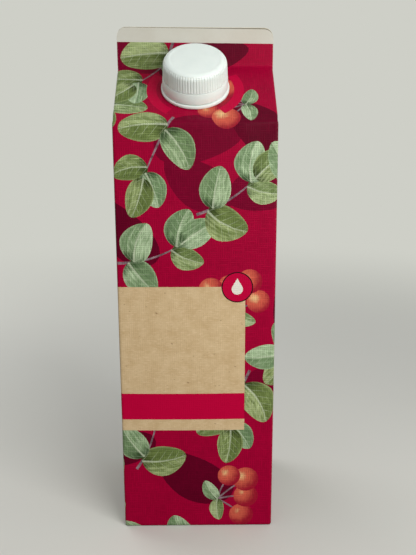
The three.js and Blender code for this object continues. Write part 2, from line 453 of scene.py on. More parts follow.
@dataclass(frozen=True)
class PlasticFinish:
    """White moulded plastic with a soft skin and faint flow marks."""

    name: str
    colour: Colour
    dull: Colour
    roughness: float = 0.36
    glow_share: float = 0.4
    glow_depth: float = 1.8 * MM

    def make(self) -> bpy.types.Material:
        """Build the material."""
        shader = Shader(self.name)
        place = shader.place()
        flow = shader.noise(place, 140.0, 3.0, 0.55)
        grain = shader.noise(place, 5200.0, 2.0, 0.6)
        share = shader.times(shader.smooth(flow, 0.35, 0.75), 0.5)
        rough = shader.line(flow, 0.12, self.roughness - 0.06)
        shader.set(Base_Color=shader.mix(share, self.colour, self.dull), Roughness=rough)
        shader.set(Subsurface_Weight=self.glow_share, Subsurface_Scale=self.glow_depth)
        shader.set(Subsurface_Radius=(1.0, 0.95, 0.9))
        shader.bump(grain, 0.01 * MM)
        return shader.material


@dataclass(frozen=True)
class StageFinish:
    """Plain matt floor that passes into the backdrop's colour further away."""

    name: str
    colour: Colour
    uneven: Colour
    backdrop: Colour
    bounce: Colour
    near: float = 0.2
    far: float = 0.6

    def make(self) -> bpy.types.Material:
        """Build the material."""
        shader = Shader(self.name)
        place = shader.place()
        patch = shader.noise(place, 7.0, 3.0, 0.5)
        seen = shader.node("LightPath").outputs["Is Camera Ray"]
        shown = shader.mix(patch, self.colour, self.uneven)
        shader.set(Base_Color=shader.mix(seen, self.bounce, shown), Roughness=0.8, Specular_IOR_Level=0.1)
        away = shader.wire("VectorMath", {0: place}, "Value", operation="LENGTH")
        share = shader.times(shader.smooth(away, self.near, self.far), seen)
        glow = shader.wire("Emission", {"Color": self.backdrop})
        mixed = shader.wire("MixShader", {0: share, 1: shader.surface.outputs[0], 2: glow})
        shader.feed(shader.tree.nodes["Material Output"].inputs["Surface"], mixed)
        return shader.material


def cap_axis() -> tuple[Vector, float]:
    """Find the closure's seat, in metres, and how far its axis leans forward."""
    hinge = next(j for j in frame["joints"] if j["name"] == "cap_turn")
    return Vector(hinge["pos_m"]), math.atan2(-hinge["axis"][1], hinge["axis"][2])


def inside(points: np.ndarray, outline: np.ndarray) -> np.ndarray:
    """Find which points lie inside a closed outline.

    Args:
        points: Points as rows.
        outline: The outline's corners as rows.

    Returns:
        One truth value for each point.
    """
    found = np.zeros(len(points), bool)
    x, y = points[:, 0], points[:, 1]
    for (x0, y0), (x1, y1) in zip(outline, np.roll(outline, -1, axis=0)):
        if y0 == y1:
            continue
        crosses = (y0 > y) != (y1 > y)
        found ^= crosses & (x < (x1 - x0) * (y - y0) / (y1 - y0) + x0)
    return found


def graded(lines: Iterable[float], low: float, high: float, step: float, near: Sequence[float]) -> np.ndarray:
    """Spread positions over a range, close together beside each crease.

    Args:
        lines: Where the creases are.
        low: Start of the range.
        high: End of the range.
        step: Widest spacing away from the creases.
        near: Distances from a crease that get a position on both sides of it.

    Returns:
        The positions in order.
    """
    marks = {low, high}
    for line in lines:
        marks |= {round(line + sign * gap, 6) for gap in near for sign in (-1, 1)}
    ordered = sorted(m for m in marks if low <= m <= high)
    spread = [ordered[0]]
    for start, end in zip(ordered, ordered[1:]):
        count = math.ceil((end - start) / step - 1e-6)
        spread += [start + (end - start) * i / count for i in range(1, count + 1)]
    return np.array(spread)


@dataclass
class Blank:
    """The flat board and how it folds, in millimetres.

    A point of the blank is (s, t). s runs round the carton over the left, front, right and back
    panels, from the glued edge at the back, and t runs up from the bottom fold.
    """

    panel: float
    shoulder: float
    slope: float
    top: float
    spout: float
    board: float = 0.55
    fin_half: float = 1.1
    fin_corner: float = 4.0
    stack: float = 2.3
    stack_growth: float = 6.0
    rim: float = 3.0
    recess: float = 0.8
    crease: float = 1.5
    bulge: float = 0.7
    bare_strip: float = 6.2
    fin_skew: float = 0.55
    rear_step: float = 0.5
    near: Sequence[float] = (0.0, 0.5, 1.0, 1.5, 2.2)
    step: float = 5.5
    arc_steps: int = 6
    wing_steps: int = 12

    @classmethod
    def from_frame(cls) -> "Blank":
        """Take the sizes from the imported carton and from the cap's axis."""
        low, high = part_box("carton")
        seat, slope = cap_axis()
        half = (high.x - low.x) / 2
        up_roof = (seat.y + half) / math.cos(slope)
        shoulder = seat.z - up_roof * math.sin(slope)
        return cls(2 * half / MM, shoulder / MM, slope, high.z / MM, up_roof / MM)

    def __post_init__(self) -> None:
        """Work out the sizes that follow."""
        self.half = self.panel / 2
        self.round_trip = 4 * self.panel
        self.run = self.half - self.fin_half
        self.gable_rise = self.run * math.tan(self.slope)
        self.roof = self.run / math.cos(self.slope)
        self.fin_foot = self.shoulder + self.roof
        self.fin_top = self.fin_foot + self.top - self.shoulder - self.gable_rise
        self.foot = -self.rim - self.recess
        self.ridge = self.shoulder + self.half * math.tan(self.slope) - self.stack / math.cos(self.slope)
        self.hollow = (self.ridge - self.shoulder) * self.half / self.gable_rise
        self.hollow_flat = math.hypot(self.hollow, self.ridge - self.shoulder)
        folds = [i * self.panel for i in range(5)]
        self.columns = graded(folds, 0.0, self.round_trip, self.step, self.near)
        self.strip_foot = self.fin_top - self.bare_strip
        self.creases = (-self.rim, 0.0, self.shoulder, self.fin_foot)
        rows = graded(self.creases, self.foot, self.fin_top, self.step, self.near)
        self.rows = np.sort(np.append(rows[np.abs(rows - self.strip_foot) > 0.3], self.strip_foot))
        self.cuts = self.cut_edges()
        rings = [(0.0, 0.0, 0.25)]
        for share, count, weight in ((0.5, 6, 0.4), (1.0, 12, 0.35)):
            turns = [2 * math.pi * i / count for i in range(count)]
            rings += [(share * math.cos(a), share * math.sin(a), weight / count) for a in turns]
        self.kernel = rings

    def gusset(self) -> tuple[dict[str, Point], dict[str, tuple[float, float, float]]]:
        """Name the corners of one half of a side panel's gable.

        Returns:
            The corners on the flat panel as (along, up), and folded as (along, inward, height).
        """
        sin, cos = math.sin(self.slope), math.cos(self.slope)
        grown = self.stack_growth
        flat = {
            "corner": (0.0, 0.0),
            "edge": (self.stack, grown),
            "ridge": (self.stack, self.roof),
            "foot": (0.0, self.roof),
            "apex": (self.half, self.hollow_flat),
            "opposite": (self.panel, 0.0),
        }
        folded = {
            "corner": (0.0, 0.0, self.shoulder),
            "edge": (grown * cos + self.stack * sin, 0.0, self.shoulder + grown * sin - self.stack * cos),
            "ridge": (self.half, 0.0, self.ridge),
            "foot": (self.run, 0.0, self.shoulder + self.gable_rise),
            "apex": (self.half, self.hollow, self.ridge),
            "opposite": (self.panel, 0.0, self.shoulder),
        }
        return flat, folded

    def fold_gusset(self, along: np.ndarray, up: np.ndarray) -> np.ndarray:
        """Fold a side panel's gable: its triangle in, and its wings back under the roof.

        Args:
            along: Position along the panel.
            up: Height above the shoulder crease, on the flat panel.

        Returns:
            Rows of (along, inward, height).
        """
        flat, folded = self.gusset()
        facets = (
            ("corner", "opposite", "apex"),
            ("corner", "edge", "apex"),
            ("edge", "ridge", "apex"),
            ("corner", "edge", "foot"),
            ("edge", "ridge", "foot"),
        )
        mirrored = along > self.half
        near = np.where(mirrored, self.panel - along, along)
        best = np.full(len(along), -np.inf)
        out = np.zeros((len(along), 3))
        for names in facets:
            corners = np.array([flat[n] for n in names])
            frame_2d = np.column_stack([corners[1] - corners[0], corners[2] - corners[0]])
            uv = np.linalg.solve(frame_2d, np.vstack([near - corners[0, 0], up - corners[0, 1]]))
            weights = np.vstack([1 - uv.sum(0), uv]).T
            score = weights.min(1)
            better = score > best
            best[better] = score[better]
            out[better] = weights[better] @ np.array([folded[n] for n in names])
        out[mirrored, 0] = self.panel - out[mirrored, 0]
        return out

    def fold_strip(self, along: np.ndarray, t: np.ndarray, number: np.ndarray) -> np.ndarray:
        """Fold a panel's wall and bottom, and the roof and fin above it.

        Args:
            along: Position along the panel.
            t: Height up the flat blank.
            number: Which panel it is, counted from the left-hand side panel.

        Returns:
            Rows of (along, inward, height).
        """
        stops = [self.foot, -self.rim, 0.0, self.shoulder, self.fin_foot, self.fin_top]
        fin_z = self.shoulder + self.gable_rise
        inward = np.interp(t, stops, [self.rim, self.rim, 0.0, 0.0, self.run, self.run])
        height = np.interp(t, stops, [self.recess, 0.0, 0.0, self.shoulder, fin_z, self.top])
        lifted = np.clip((t - self.fin_foot) / (self.strip_foot - self.fin_foot), 0, 1)
        leftward = (1 - 2 * along / self.panel) * (2 - number)
        rear_step = np.where(number == 3, self.rear_step * (1 - 0.4 * leftward), 0.0)
        height = height + lifted * (self.fin_skew * leftward + rear_step)
        mitred = np.where(t < 0, self.half + (along - self.half) * (1 - inward / self.half), along)
        across = np.sin(np.pi * np.clip(along / self.panel, 0, 1))
        upward = np.sin(np.pi * np.clip(t / self.shoulder, 0, 1))
        return np.column_stack([mitred, inward - self.bulge * across * upward**0.8, height])

    def sharp(self, st: np.ndarray) -> np.ndarray:
        """Fold points of the blank with knife-sharp creases.

        Args:
            st: Points of the blank as rows.

        Returns:
            Points of the carton as rows.
        """
        s = np.mod(st[:, 0], self.round_trip)
        number = np.minimum((s // self.panel).astype(int), 3)
        along = s - number * self.panel
        fin_end = (number % 2 == 0) & (st[:, 1] > self.fin_foot)
        early = along < self.half
        along = np.where(fin_end, np.where(early, self.panel, 0.0), along)
        number = np.where(fin_end, np.where(early, number - 1, number + 1) % 4, number)
        local = self.fold_strip(along, st[:, 1], number)
        gable = (number % 2 == 0) & (st[:, 1] > self.shoulder)
        if gable.any():
            local[gable] = self.fold_gusset(along[gable], st[gable, 1] - self.shoulder)
        turn = (number - 1) * (math.pi / 2)
        x = local[:, 0] - self.half
        y = local[:, 1] - self.half
        cos, sin = np.cos(turn), np.sin(turn)
        return np.column_stack([x * cos - y * sin, x * sin + y * cos, local[:, 2]])

    def fin_edge(self, low: bool) -> list[Point]:
        """Walk up one upright edge of the front fin and round its corner.

        Args:
            low: Whether it is the edge where the front panel starts.

        Returns:
            Points from the fin's foot to the start of its top edge.
        """
        straight = [r for r in self.rows if self.fin_foot <= r <= self.fin_top - self.fin_corner]
        straight.append(self.fin_top - self.fin_corner)
        points = [(0.0, t) for t in straight]
        for i in range(1, self.arc_steps + 1):
            turn = (math.pi / 2) * i / self.arc_steps
            rise = self.fin_top - self.fin_corner * (1 - math.sin(turn))
            points.append((self.fin_corner * (1 - math.cos(turn)), rise))
        start = self.panel
        return [(start + u, t) if low else (start + self.panel - u, t) for u, t in points]

    def fin_rim(self) -> list[Point]:
        """Walk over the front fin's cut edge, from right to left.

        Returns:
            Points from the right-hand hollow's ridge to the left-hand one's.
        """
        left, right = self.panel, 2 * self.panel
        inner = (left + self.fin_corner, right - self.fin_corner)
        top = [(s, self.fin_top) for s in self.columns if inner[0] + 0.5 < s < inner[1] - 0.5]
        start = [(right + self.stack, self.fin_foot)]
        end = [(left - self.stack, self.fin_foot)]
        return start + self.fin_edge(False) + top[::-1] + self.fin_edge(True)[::-1] + end

    def behind(self, points: Iterable[Point]) -> list[Point]:
        """Give the points of the back panel that lie behind points of the front."""
        return [(5 * self.panel - s, t) for s, t in points]

    def wing_top(self, start: float) -> list[Point]:
        """Walk down and up the top edge of a side panel's folded wings.

        Args:
            start: Where the side panel starts on the blank.

        Returns:
            Points between the two ridge ends.
        """
        flat, _ = self.gusset()
        ridge, apex = np.array(flat["ridge"]), np.array(flat["apex"])
        down = [ridge + (apex - ridge) * i / self.wing_steps for i in range(1, self.wing_steps + 1)]
        first = [(start + u, self.shoulder + v) for u, v in down]
        second = [(start + self.panel - u, self.shoulder + v) for u, v in down[:-1]]
        return first + second[::-1]

    def outline(self) -> list[Point]:
        """Walk once round the blank's edge.

        Returns:
            Corners in order, anticlockwise.
        """
        upright = [t for t in self.rows if self.foot < t < self.fin_foot - 1e-6]
        front = self.fin_rim()
        back = self.behind(front)[::-1]
        loop = [(s, self.foot) for s in self.columns]
        loop += [(self.round_trip, t) for t in upright]
        loop += back[1:-1] + [(self.panel * 3 - self.stack, self.fin_foot)]
        loop += self.wing_top(2 * self.panel)[::-1]
        loop += front + self.wing_top(0.0)[::-1]
        loop += [(self.stack, self.fin_foot), (0.0, self.fin_foot)]
        loop += [(0.0, t) for t in upright[::-1]]
        return loop

    def cut_edges(self) -> np.ndarray:
        """List the edges that no fold rounds, each as two points."""
        front = self.fin_rim()
        chains = [front, self.behind(front), [(-self.panel, self.foot), (5 * self.panel, self.foot)]]
        for start in (0.0, 2 * self.panel):
            ends = [(start + self.stack, self.fin_foot), (start + self.panel - self.stack, self.fin_foot)]
            chains.append(ends[:1] + self.wing_top(start) + ends[1:])
        segments = [pair for chain in chains for pair in zip(chain, chain[1:])]
        flat = np.array(segments)
        shift = np.array([self.round_trip, 0.0])
        return np.concatenate([flat - shift, flat, flat + shift])

    def cut_distance(self, st: np.ndarray) -> np.ndarray:
        """Measure how far points of the blank are from its cut edges."""
        least = np.full(len(st), np.inf)
        for a, b in self.cuts:
            along = np.clip((st - a) @ (b - a) / ((b - a) @ (b - a)), 0, 1)
            least = np.minimum(least, np.linalg.norm(st - a - along[:, None] * (b - a), axis=1))
        return least

    def split(self, loop: np.ndarray) -> np.ndarray:
        """Give an outline a corner wherever it crosses a line of the folding grid.

        Args:
            loop: The closed outline's corners as rows.

        Returns:
            The outline with the added corners.
        """
        corners = []
        for start, end in zip(loop, np.roll(loop, -1, axis=0)):
            shares = [np.zeros(1)]
            for axis, lines in enumerate((self.columns, self.rows)):
                if abs(end[axis] - start[axis]) > 1e-6:
                    shares.append((lines - start[axis]) / (end[axis] - start[axis]))
            share = np.unique(np.round(np.concatenate(shares), 5))
            corners += [start + (end - start) * k for k in share if k == 0 or 0.004 < k < 0.996]
        return np.array(corners)

    def dents(self, st: np.ndarray) -> np.ndarray:
        """Say how far handling has pushed the board in, at points of the blank."""
        s, t = st[:, 0] - self.panel, st[:, 1] - self.shoulder
        pushed = np.zeros(len(st))
        for along, up, reach, depth, lean in (
            (60.0, 4.0, 8.0, 0.7, 0.5),
            (51.0, 2.5, 5.0, -0.5, -1.1),
            (65.0, -5.0, 6.0, 0.5, 1.2),
            (9.0, 3.0, 8.0, 0.4, -0.6),
        ):
            ds, dt = s - along, t - up
            across = dt - lean * ds
            pushed += depth * np.exp(-((ds / reach) ** 2) - (across / 2.4) ** 2)
        return pushed

    def fold(self, st: np.ndarray) -> np.ndarray:
        """Fold points of the blank with rounded creases.

        Args:
            st: Points of the blank as rows.

        Returns:
            Points of the carton as rows, in metres.
        """
        reach = np.minimum(self.crease, self.cut_distance(st))[:, None]
        out = sum(w * self.sharp(st + reach * np.array([u, v])) for u, v, w in self.kernel)
        main = (st[:, 0] >= self.panel) & (st[:, 0] <= 2 * self.panel) & (st[:, 1] < self.fin_foot - 3)
        out[main, 1] += self.dents(st[main])
        return out * MM


@dataclass
class Shape:
    """One field of ink on the blank, with the local axes that its finish follows."""

    ink: Ink
    outline: np.ndarray
    tone: float = 0.5
    origin: Point = (0.0, 0.0)
    heading: float = 0.0
    length: float = 1.0
    half_width: float = 1.0
    bow: float = 0.0

    def local(self, st: np.ndarray) -> np.ndarray:
        """Give points of the blank in the shape's own axes."""
        cos, sin = math.cos(self.heading), math.sin(self.heading)
        moved = st - np.array(self.origin)
        u = (moved[:, 0] * cos + moved[:, 1] * sin) / self.length
        v = (moved[:, 1] * cos - moved[:, 0] * sin) / self.half_width
        return np.column_stack([u, v - self.bow * 4 * u * (1 - u)])

    def shifted(self, along: float) -> "Shape":
        """Make a copy further along the blank."""
        step = np.array([along, 0.0])
        return replace(self, outline=self.outline + step, origin=(self.origin[0] + along, self.origin[1]))

    def clipped(self, low: float) -> "Shape":
        """Make a copy that is cut off level at a height."""
        corners = []
        for start, end in zip(self.outline, np.roll(self.outline, -1, axis=0)):
            if start[1] >= low:
                corners.append(start)
            if (start[1] >= low) != (end[1] >= low):
                corners.append(start + (end - start) * (low - start[1]) / (end[1] - start[1]))
        return replace(self, outline=np.array(corners).reshape(-1, 2))


def circle(centre: Point, radius: float, count: int) -> np.ndarray:
    """Walk round a circle on the blank."""
    turns = np.arange(count) * (2 * math.pi / count)
    return np.column_stack([centre[0] + radius * np.cos(turns), centre[1] + radius * np.sin(turns)])


def rectangle(low: Point, high: Point) -> np.ndarray:
    """Walk round an upright rectangle on the blank."""
    return np.array([low, (high[0], low[1]), high, (low[0], high[1])])


def ribbon(path: np.ndarray, widths: np.ndarray) -> np.ndarray:
    """Walk round a line that has a width.

    Args:
        path: The line's points as rows.
        widths: Its width at each point.

    Returns:
        The outline's points as rows.
    """
    run = np.gradient(path, axis=0)
    side = np.column_stack([-run[:, 1], run[:, 0]]) / np.linalg.norm(run, axis=1)[:, None]
    offset = side * widths[:, None] / 2
    return np.vstack([path - offset, (path + offset)[::-1]])


def leaf(base: Point, heading: float, length: float, width: float, bow: float, tone: float) -> Shape:
    """Draw one leaf.

    Args:
        base: Where its stalk ends.
        heading: Its direction, in degrees.
        length: Its length.
        width: Its greatest width.
        bow: Sideways bow of its midrib, as a share of half the width.
        tone: How deep its green is, from 0 to 1.

    Returns:
        The leaf's shape.
    """
    turn = math.radians(heading)
    half = width / 2
    along = (1 - np.cos(np.linspace(0, math.pi, 15))) / 2
    reach = LeafForm().half_width(along)
    middle = bow * 4 * along * (1 - along)
    u = np.concatenate([along, along[-2:0:-1]]) * length
    v = np.concatenate([middle - reach, (middle + reach)[-2:0:-1]]) * half
    cos, sin = math.cos(turn), math.sin(turn)
    outline = np.column_stack([base[0] + u * cos - v * sin, base[1] + u * sin + v * cos])
    return Shape(Ink.LEAF, outline, tone, base, turn, length, half, bow)


@dataclass
class Sprig:
    """A curving stem with pairs of round leaves."""

    root: Point
    heading: float
    length: float
    curl: float = 30.0
    pairs: int = 3
    leaf_length: float = 15.0
    seed: int = 1

    def path(self, count: int = 13) -> np.ndarray:
        """Follow the stem from its root to its tip."""
        turns = np.radians(self.heading + self.curl * np.linspace(0, 1, count - 1))
        steps = np.column_stack([np.cos(turns), np.sin(turns)]) * self.length / (count - 1)
        return np.vstack([[0, 0], np.cumsum(steps, axis=0)]) + np.array(self.root)

    def shapes(self) -> list[Shape]:
        """Draw the stem, its leaves and the leaf at its tip."""
        rng = np.random.default_rng(self.seed)
        path = self.path()
        made = [Shape(Ink.STEM, ribbon(path, np.linspace(1.3, 0.5, len(path))))]
        for i in range(self.pairs):
            share = 0.22 + 0.62 * i / max(self.pairs - 1, 1)
            for sign in (-1, 1):
                at = path[min(int(round((share + 0.04 * sign) * (len(path) - 1))), len(path) - 1)]
                lean = self.heading + self.curl * share + sign * (62 - 16 * share + rng.uniform(-8, 8))
                size = self.leaf_length * (1 - 0.22 * share) * rng.uniform(0.88, 1.1)
                bow = sign * rng.uniform(0.05, 0.3)
                width = size * rng.uniform(0.68, 0.8)
                made.append(leaf(tuple(at), lean, size, width, bow, rng.uniform(0, 1)))
        tip = self.heading + self.curl + rng.uniform(-6, 6)
        size = self.leaf_length * 0.85
        made.append(leaf(tuple(path[-1]), tip, size, size * 0.68, 0.12, rng.uniform(0, 1)))
        return made


@dataclass
class BerrySpray:
    """A short branching twig with round berries and two small leaves."""

    root: Point
    heading: float
    reach: float = 15.0
    radius: float = 4.4
    count: int = 4
    seed: int = 1

    def shapes(self) -> list[Shape]:
        """Draw the twigs, the berries and the leaves."""
        rng = np.random.default_rng(self.seed)
        root = np.array(self.root)
        twigs, berries, leaves = [], [], []
        for i in range(self.count):
            spread = (i - (self.count - 1) / 2) * 34 + rng.uniform(-6, 6)
            turn = math.radians(self.heading + spread)
            far = self.reach * rng.uniform(0.85, 1.2) * (1 - 0.1 * abs(i - (self.count - 1) / 2))
            end = root + far * np.array([math.cos(turn), math.sin(turn)])
            bend = (root + end) / 2 + 1.2 * np.array([-math.sin(turn), math.cos(turn)])
            share = np.linspace(0, 1, 7)[:, None]
            path = (1 - share) ** 2 * root + 2 * share * (1 - share) * bend + share**2 * end
            twigs.append(Shape(Ink.STEM, ribbon(path, np.linspace(0.9, 0.6, 7))))
            size = self.radius * rng.uniform(0.86, 1.12)
            edge, tone = circle(tuple(end), size, 26), rng.uniform(0, 1)
            berries.append(Shape(Ink.BERRY, edge, tone, tuple(end), 0.0, size, size))
        for sign in (-1, 1):
            lean = self.heading + sign * 104
            length, width = self.reach * 0.75, self.reach * 0.46
            leaves.append(leaf(self.root, lean, length, width, sign * 0.2, rng.uniform(0, 1)))
        return twigs + leaves + berries


@dataclass
class Print:
    """Everything printed on the blank, in the order that it is laid down."""

    blank: Blank
    label_low: Point = (-50.0, 50.3)
    label_high: Point = (56.6, 119.3)
    band: Point = (55.8, 68.6)
    badge: Point = (53.0, 119.0)
    badge_radius: float = 7.0
    badge_ring: float = 0.5
    drop_radius: float = 2.5
    arc_inner: float = 17.0
    arc_outer: float = 21.3
    column_count: int = 8
    row_count: int = 6
    row_step: float = 46.0
    first_row: float = -4.0
    margin: float = 0.8
    seed: int = 5

    def on_front(self, point: Point) -> Point:
        """Move a point from the front panel's own corner to the blank's."""
        return point[0] + self.blank.panel, point[1]

    def spout_centre(self) -> Point:
        """Find the middle of the spout's hole on the blank."""
        return self.on_front((self.blank.half, self.blank.shoulder + self.blank.spout))

    def sprays(self) -> list[Shape]:
        """Toss sprigs and berries over the panels in half-drop rows, above large tonal leaves."""
        rng = np.random.default_rng(self.seed)
        column_step = self.blank.round_trip / self.column_count
        tonal, motifs = [], []
        for column in range(self.column_count):
            for row in range(self.row_count):
                s = (column + 0.5) * column_step + rng.uniform(-3, 3)
                t = self.first_row + (row + column % 2 / 2) * self.row_step + rng.uniform(-4, 4)
                heading = rng.uniform(0, 360)
                seed = int(rng.integers(1, 10**6))
                length, width = rng.uniform(34, 46), rng.uniform(17, 23)
                back = leaf((s, t), heading + 130, length, width, 0.2, rng.uniform(0, 1))
                tonal.append(replace(back, ink=Ink.PLUM if (column + row) % 2 else Ink.DUSK))
                turn = math.radians(heading)
                reach = np.array([math.cos(turn), math.sin(turn)])
                if (column + 2 * row) % 4 == 3:
                    root = tuple(np.array([s, t]) - 7 * reach)
                    motifs += BerrySpray(root, heading, 15, 5.6, 4, seed).shapes()
                else:
                    root = tuple(np.array([s, t]) - 17 * reach)
                    motifs += Sprig(root, heading, 30, rng.uniform(-40, 40), 2, 21, seed).shapes()
        return [*sorted(tonal, key=lambda shape: shape.ink.value), *motifs]

    def arcs(self) -> list[Shape]:
        """Draw the two curved bands beside the closure."""
        made = []
        for low, high in ((148, 234), (-54, 32)):
            turns = np.radians(np.linspace(low, high, 22))
            ray = np.column_stack([np.cos(turns), np.sin(turns)])
            edge = np.vstack([ray * self.arc_outer, ray[::-1] * self.arc_inner])
            made.append(Shape(Ink.RED, edge + np.array(self.spout_centre())))
        return made

    def label(self) -> list[Shape]:
        """Draw the kraft label with its red band and round badge."""
        left, right = self.label_low[0], self.label_high[0]
        field = rectangle(self.on_front(self.label_low), self.on_front(self.label_high))
        band = rectangle(self.on_front((left, self.band[0])), self.on_front((right, self.band[1])))
        badge = self.on_front(self.badge)
        turns = np.radians(np.linspace(-30, 210, 25))
        bowl = np.column_stack([np.cos(turns), -np.sin(turns)]) * self.drop_radius
        drop = np.vstack([bowl, [0.0, 2 * self.drop_radius]]) - [0.0, 0.35 * self.drop_radius]
        return [
            Shape(Ink.KRAFT, field),
            Shape(Ink.RED, band),
            Shape(Ink.DARK, circle(badge, self.badge_radius, 40)),
            Shape(Ink.RED, circle(badge, self.badge_radius - self.badge_ring, 40)),
            Shape(Ink.PALE, drop + np.array(badge)),
        ]

    def bare_strips(self) -> list[Shape]:
        """Leave the fin's sealing strip unprinted, on the front and on the back."""
        panel, low, high = self.blank.panel, self.blank.strip_foot, self.blank.fin_top + 2
        return [
            Shape(Ink.BARE, rectangle((k * panel - 2, low), ((k + 1) * panel + 2, high)))
            for k in (1, 3)
        ]

    def laid(self, shape: Shape) -> list[Shape]:
        """Fit a motif to the blank: cut it at the bottom and carry it over the glued edge.

        Args:
            shape: The motif.

        Returns:
            The shapes to print, none where it would cross another cut edge.
        """
        if shape.outline[:, 1].min() < -self.blank.rim:
            shape = shape.clipped(-self.blank.rim)
        if len(shape.outline) < 3 or self.blank.cut_distance(shape.outline).min() < self.margin - 0.1:
            return []
        trip, s = self.blank.round_trip, shape.outline[:, 0]
        copies = [shape]
        if s.min() < 0:
            copies.append(shape.shifted(trip))
        if s.max() > trip:
            copies.append(shape.shifted(-trip))
        return copies

    def shapes(self) -> list[Shape]:
        """Lay down the print, from the back to the front."""
        motifs = [part for shape in self.sprays() for part in self.laid(shape)]
        return [*motifs, *self.label(), *self.arcs(), *self.bare_strips()]


class Modelling:
    """Short ways to Blender's own operators, for one object at a time."""

    @staticmethod
    def begin() -> None:
        """Leave edit mode and let go of everything."""
        if bpy.context.object and bpy.context.object.mode != "OBJECT":
            bpy.ops.object.mode_set(mode="OBJECT")
        bpy.ops.object.select_all(action="DESELECT")

    @staticmethod
    def activate(piece: bpy.types.Object) -> None:
        """Select one object and make it the active one."""
        Modelling.begin()
        piece.select_set(True)
        bpy.context.view_layer.objects.active = piece

    @staticmethod
    def edit(piece: bpy.types.Object) -> None:
        """Open one object in edit mode with nothing selected, picking faces."""
        Modelling.activate(piece)
        bpy.ops.object.mode_set(mode="EDIT")
        bpy.ops.mesh.select_mode(type="FACE")
        bpy.ops.mesh.select_all(action="DESELECT")

    @staticmethod
    def pick_faces(piece: bpy.types.Object, wanted: Callable[[bpy.types.MeshPolygon], bool]) -> int:
        """Select the faces that a test wants, in edit mode.

        Args:
            piece: The object, in edit mode.
            wanted: The test.

        Returns:
            How many faces are selected.
        """
        bpy.ops.mesh.select_all(action="DESELECT")
        bpy.ops.object.mode_set(mode="OBJECT")
        count = 0
        for face in piece.data.polygons:
            face.select = wanted(face)
            count += face.select
        bpy.ops.object.mode_set(mode="EDIT")
        return count

    @staticmethod
    def turn(name: str, profile: Sequence[Point], steps: int, closed: bool) -> bpy.types.Object:
        """Turn a profile about the upright axis by extruding a ring along it.

        Args:
            name: The new object's name.
            profile: Radius and height at each corner, in millimetres.
            steps: Sides of the ring.
            closed: Whether the last corner joins the first; if not, the last ring is drawn to a point.

        Returns:
            The object, back in object mode.
        """
        Modelling.begin()
        radius, height = profile[0]
        bpy.ops.mesh.primitive_circle_add(vertices=steps, radius=radius * MM, location=(0, 0, height * MM))
        piece = bpy.context.object
        piece.name = name
        bpy.ops.object.transform_apply(location=True, rotation=True, scale=True)
        bpy.ops.object.mode_set(mode="EDIT")
        bpy.ops.mesh.select_mode(type="VERT")
        bpy.ops.mesh.select_all(action="SELECT")
        path = [*profile[1:], profile[0]] if closed else profile[1:]
        for next_radius, next_height in path:
            bpy.ops.mesh.extrude_edges_move()
            share = next_radius / radius
            bpy.ops.transform.resize(value=(share, share, 1), center_override=(0, 0, height * MM))
            bpy.ops.transform.translate(value=(0, 0, (next_height - height) * MM))
            radius, height = next_radius, next_height
        if not closed:
            bpy.ops.mesh.merge(type="CENTER")
        Modelling.weld()
        return piece

    @staticmethod
    def weld(gap: float = 0.002) -> None:
        """Merge points closer than a gap in millimetres, face outwards and leave edit mode."""
        bpy.ops.mesh.select_all(action="SELECT")
        bpy.ops.mesh.remove_doubles(threshold=gap * MM)
        bpy.ops.mesh.normals_make_consistent(inside=False)
        bpy.ops.object.mode_set(mode="OBJECT")

    @staticmethod
    def soften(piece: bpy.types.Object, width: float, angle: float = 30.0) -> None:
        """Round a piece's sharp edges and shade it smooth.

        Args:
            piece: The object.
            width: Width of the rounding, in millimetres.
            angle: Least angle of an edge that counts as sharp, in degrees.
        """
        Modelling.activate(piece)
        bevel = piece.modifiers.new("edge_rounding", "BEVEL")
        bevel.width = width * MM
        bevel.segments = 2
        bevel.limit_method = "ANGLE"
        bevel.angle_limit = math.radians(angle)
        bpy.ops.object.modifier_apply(modifier=bevel.name)
        bpy.ops.object.shade_smooth_by_angle(angle=math.radians(angle))

    @staticmethod
    def set_down(piece: bpy.types.Object, seat: Vector, slope: float) -> None:
        """Lean an upright piece with the roof and set it on its seat for good."""
        Modelling.activate(piece)
        piece.rotation_euler = (slope, 0, 0)
        piece.location = seat
        bpy.ops.object.transform_apply(location=True, rotation=True, scale=True)


